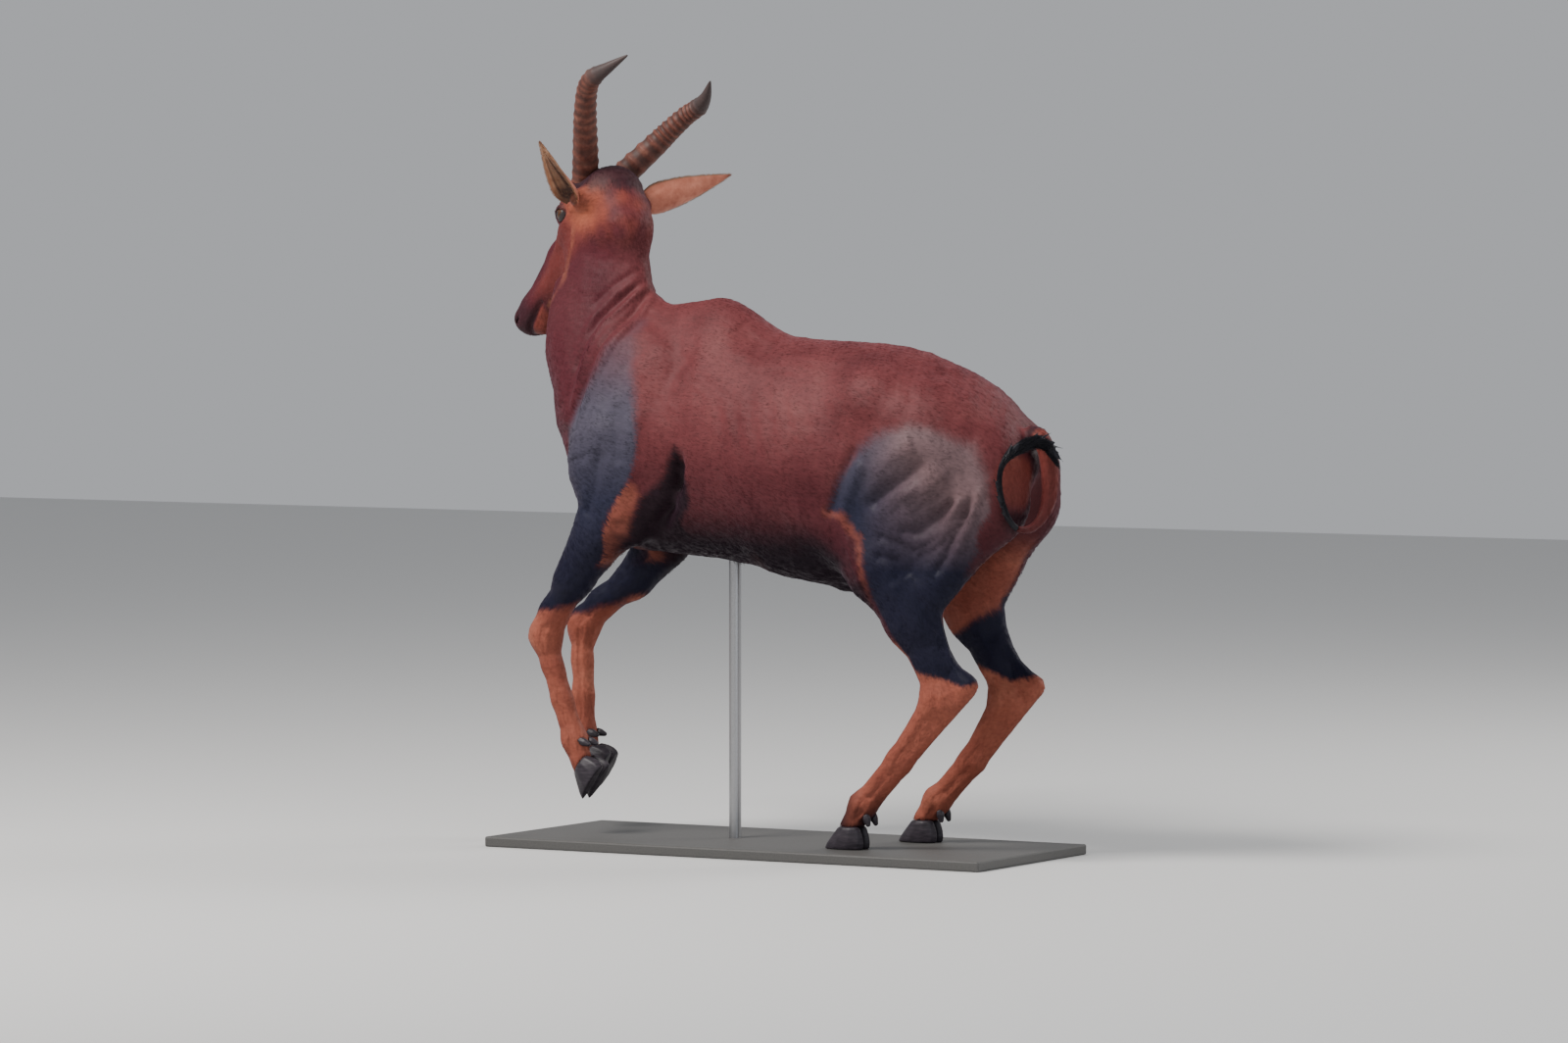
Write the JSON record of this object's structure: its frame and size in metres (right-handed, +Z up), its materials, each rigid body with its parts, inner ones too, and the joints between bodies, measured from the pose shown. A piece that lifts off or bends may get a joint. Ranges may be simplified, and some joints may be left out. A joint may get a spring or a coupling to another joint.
{
  "type": "topi antelope",
  "caption": "Still life-size model of a ringed-horned reddish antelope rising off its forelegs with its head turned away, held by a rod on a flat base.",
  "frame": {"origin": "centre of the underside of the display base", "axes": "+Z up, -X the way the body faces, -Y the animal's left side"},
  "size_m": [1.5866, 0.567, 1.8286],
  "materials": {
    "coat": "short glossy red-brown hair",
    "coat_dark": "short blue-black hair",
    "coat_leg": "short tawny hair",
    "ear": "short hair with a pale fringe",
    "tail_hair": "coarse black hair",
    "horn": "ringed horn",
    "hoof": "worn dark hoof horn",
    "eye": "wet dark eye",
    "stand_base": "dark satin paint",
    "stand_rod": "brushed"
  },
  "bodies": {
    "root": {"cannon_fore_left": "coat_leg", "cannon_fore_right": "coat_leg", "cannon_hind_left": "coat_leg", "cannon_hind_right": "coat_leg", "dewclaw_fore_left_l": "hoof", "dewclaw_fore_left_r": "hoof", "dewclaw_fore_right_l": "hoof", "dewclaw_fore_right_r": "hoof", "dewclaw_hind_left_l": "hoof", "dewclaw_hind_left_r": "hoof", "dewclaw_hind_right_l": "hoof", "dewclaw_hind_right_r": "hoof", "ear_left": "ear", "ear_right": "ear", "eye_left": "eye", "eye_right": "eye", "forearm_fore_left": "coat_dark", "forearm_fore_right": "coat_dark", "head": "coat", "hoof_fore_left_l": "hoof", "hoof_fore_left_r": "hoof", "hoof_fore_right_l": "hoof", "hoof_fore_right_r": "hoof", "hoof_hind_left_l": "hoof", "hoof_hind_left_r": "hoof", "hoof_hind_right_l": "hoof", "hoof_hind_right_r": "hoof", "horn_left": "horn", "horn_right": "horn", "neck": "coat", "pastern_fore_left": "coat_leg", "pastern_fore_right": "coat_leg", "pastern_hind_left": "coat_leg", "pastern_hind_right": "coat_leg", "stand_base": "stand_base", "stand_rod": "stand_rod", "tail_bend": "coat", "tail_middle": "tail_hair", "tail_root": "coat", "tail_tip": "tail_hair", "thigh_hind_left": "coat_dark", "thigh_hind_right": "coat_dark", "torso": "coat"}
  },
  "joints": []
}
